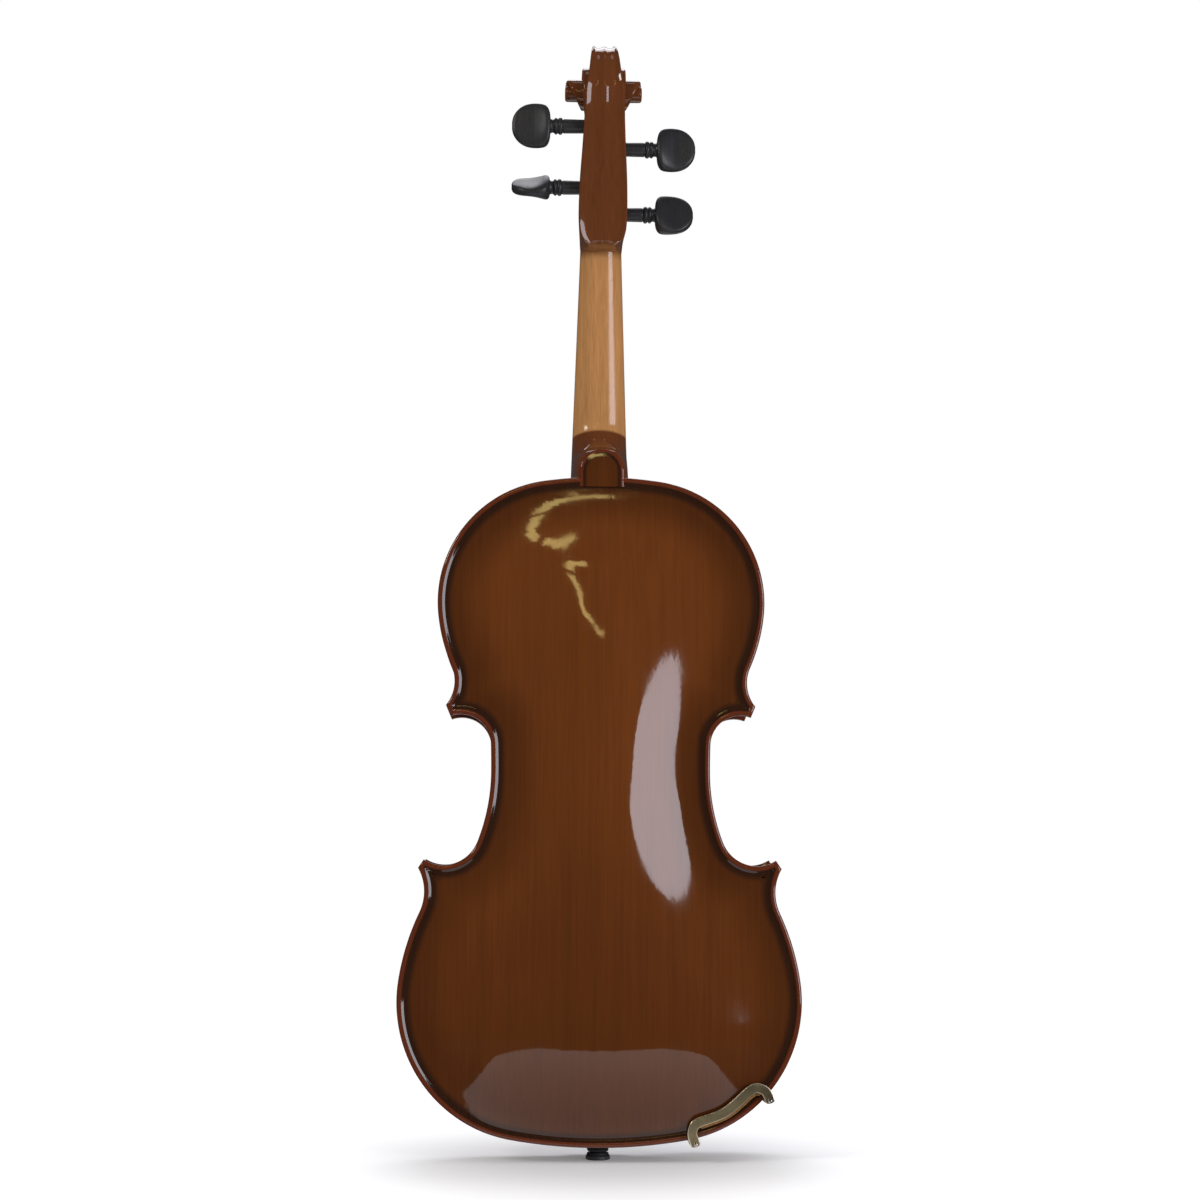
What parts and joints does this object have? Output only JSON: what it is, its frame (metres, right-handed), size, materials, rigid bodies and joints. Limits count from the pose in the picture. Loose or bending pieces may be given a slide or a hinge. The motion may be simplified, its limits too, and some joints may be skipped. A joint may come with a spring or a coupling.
{
  "type": "viola",
  "caption": "Varnished wooden viola with carved scroll, black pegs, fine tuners and a clamped chin rest, seen from its back.",
  "frame": {"origin": "Centre of the end button's outer face, on the instrument's middle line, in the plane half way through the ribs.", "axes": "+Z from the end button to the scroll, +Y from the back towards the belly, +X to the right seen from behind, which is the bass side."},
  "size_m": [0.2446, 0.1252, 0.6874],
  "materials": {
    "back_varnish": "high gloss dark red-brown varnish over fine straight-grained wood",
    "belly_varnish": "high gloss brown varnish over close straight softwood grain",
    "neck_varnish": "gloss varnish on scroll, pegbox and heel, paler amber satin on the neck",
    "bare_wood": "unvarnished pale wood",
    "ebony": "satin black",
    "maple": "smooth unvarnished",
    "string_steel": "fine wound metal",
    "gut": "smooth black cord",
    "clamp_metal": "plated, slightly dulled",
    "nickel": "polished nickel plate",
    "cork": "golden fine-grained cork"
  },
  "bodies": {
    "instrument": {"back_plate": "back_varnish", "lower_left_rib": "back_varnish", "middle_left_rib": "back_varnish", "upper_left_rib": "back_varnish", "lower_right_rib": "back_varnish", "middle_right_rib": "back_varnish", "upper_right_rib": "back_varnish", "top_plate": "belly_varnish", "neck_and_scroll": "neck_varnish", "back_middle_left_lining": "bare_wood", "back_middle_right_lining": "bare_wood", "top_middle_left_lining": "bare_wood", "top_middle_right_lining": "bare_wood", "back_lower_left_lining": "bare_wood", "back_lower_right_lining": "bare_wood", "back_upper_left_lining": "bare_wood", "back_upper_right_lining": "bare_wood", "top_lower_left_lining": "bare_wood", "top_lower_right_lining": "bare_wood", "top_upper_left_lining": "bare_wood", "top_upper_right_lining": "bare_wood", "neck_block": "bare_wood", "end_block": "bare_wood", "upper_left_corner_block": "bare_wood", "upper_right_corner_block": "bare_wood", "lower_left_corner_block": "bare_wood", "lower_right_corner_block": "bare_wood", "bass_bar": "bare_wood", "sound_post": "bare_wood", "fingerboard": "ebony", "nut": "ebony", "tailpiece": "ebony", "saddle": "ebony", "end_button": "ebony", "chin_rest": "ebony", "bridge": "maple", "a_string": "string_steel", "d_string": "string_steel", "g_string": "string_steel", "c_string": "string_steel", "tailgut": "gut", "upper_clamp": "clamp_metal", "upper_clamp_cork": "cork"},
    "c_peg": {"c_peg": "ebony"},
    "a_peg": {"a_peg": "ebony"},
    "g_peg": {"g_peg": "ebony"},
    "d_peg": {"d_peg": "ebony"},
    "a_tuner_screw": {"a_tuner_screw": "nickel"},
    "a_tuner_lever": {"a_tuner_lever": "nickel"},
    "d_tuner_screw": {"d_tuner_screw": "nickel"},
    "d_tuner_lever": {"d_tuner_lever": "nickel"},
    "g_tuner_screw": {"g_tuner_screw": "nickel"},
    "g_tuner_lever": {"g_tuner_lever": "nickel"},
    "c_tuner_screw": {"c_tuner_screw": "nickel"},
    "c_tuner_lever": {"c_tuner_lever": "nickel"},
    "inner_clamp_barrel": {"inner_clamp_barrel": "clamp_metal"},
    "outer_clamp_barrel": {"outer_clamp_barrel": "clamp_metal"},
    "lower_clamp": {"lower_clamp": "clamp_metal", "lower_clamp_cork": "cork"}
  },
  "joints": [
    {"name": "c_peg_turn", "type": "hinge", "parent": "instrument", "child": "c_peg", "pos_m": [0, -0.007, 0.5843], "axis": [1, 0, 0], "continuous": true},
    {"name": "a_peg_turn", "type": "hinge", "parent": "instrument", "child": "a_peg", "pos_m": [0, -0.0143, 0.5993], "axis": [1, 0, 0], "continuous": true},
    {"name": "g_peg_turn", "type": "hinge", "parent": "instrument", "child": "g_peg", "pos_m": [0, -0.0255, 0.6209], "axis": [1, 0, 0], "continuous": true},
    {"name": "d_peg_turn", "type": "hinge", "parent": "instrument", "child": "d_peg", "pos_m": [0, -0.03, 0.6339], "axis": [1, 0, 0], "continuous": true},
    {"name": "a_tuner_screw_turn", "type": "hinge", "parent": "instrument", "child": "a_tuner_screw", "pos_m": [-0.0144, 0.05798, 0.11394], "axis": [0, 0.9837, -0.1796], "range_deg": [0, 1080]},
    {"name": "a_tuner_lever_tilt", "type": "hinge", "parent": "instrument", "child": "a_tuner_lever", "pos_m": [-0.0144, 0.05179, 0.13012], "axis": [1, 0, 0], "range_deg": [-5.4, 0]},
    {"name": "d_tuner_screw_turn", "type": "hinge", "parent": "instrument", "child": "d_tuner_screw", "pos_m": [-0.0048, 0.05798, 0.11394], "axis": [0, 0.9837, -0.1796], "range_deg": [0, 1080]},
    {"name": "d_tuner_lever_tilt", "type": "hinge", "parent": "instrument", "child": "d_tuner_lever", "pos_m": [-0.0048, 0.05179, 0.13012], "axis": [1, 0, 0], "range_deg": [-5.4, 0]},
    {"name": "g_tuner_screw_turn", "type": "hinge", "parent": "instrument", "child": "g_tuner_screw", "pos_m": [0.0048, 0.05798, 0.11394], "axis": [0, 0.9837, -0.1796], "range_deg": [0, 1080]},
    {"name": "g_tuner_lever_tilt", "type": "hinge", "parent": "instrument", "child": "g_tuner_lever", "pos_m": [0.0048, 0.05179, 0.13012], "axis": [1, 0, 0], "range_deg": [-5.4, 0]},
    {"name": "c_tuner_screw_turn", "type": "hinge", "parent": "instrument", "child": "c_tuner_screw", "pos_m": [0.0144, 0.05798, 0.11394], "axis": [0, 0.9837, -0.1796], "range_deg": [0, 1080]},
    {"name": "c_tuner_lever_tilt", "type": "hinge", "parent": "instrument", "child": "c_tuner_lever", "pos_m": [0.0144, 0.05179, 0.13012], "axis": [1, 0, 0], "range_deg": [-5.4, 0]},
    {"name": "inner_barrel_turn", "type": "hinge", "parent": "instrument", "child": "inner_clamp_barrel", "pos_m": [0.0576, 0, 0.0117], "axis": [0, 1, 0], "range_deg": [0, 1350]},
    {"name": "outer_barrel_turn", "type": "hinge", "parent": "instrument", "child": "outer_clamp_barrel", "pos_m": [0.1023, 0, 0.0375], "axis": [0, 1, 0], "range_deg": [0, 1350]},
    {"name": "lower_clamp_slide", "type": "slide", "parent": "instrument", "child": "lower_clamp", "axis": [0, -1, 0], "range_m": [0, 0.003]}
  ],
  "couplings": [
    {"joint": "a_tuner_lever_tilt", "follows": "a_tuner_screw_turn", "ratio": -0.005},
    {"joint": "d_tuner_lever_tilt", "follows": "d_tuner_screw_turn", "ratio": -0.005},
    {"joint": "g_tuner_lever_tilt", "follows": "g_tuner_screw_turn", "ratio": -0.005},
    {"joint": "c_tuner_lever_tilt", "follows": "c_tuner_screw_turn", "ratio": -0.005},
    {"joint": "inner_barrel_turn", "follows": "lower_clamp_slide", "rad_per_m": 7853.9},
    {"joint": "outer_barrel_turn", "follows": "lower_clamp_slide", "rad_per_m": 7853.9}
  ]
}
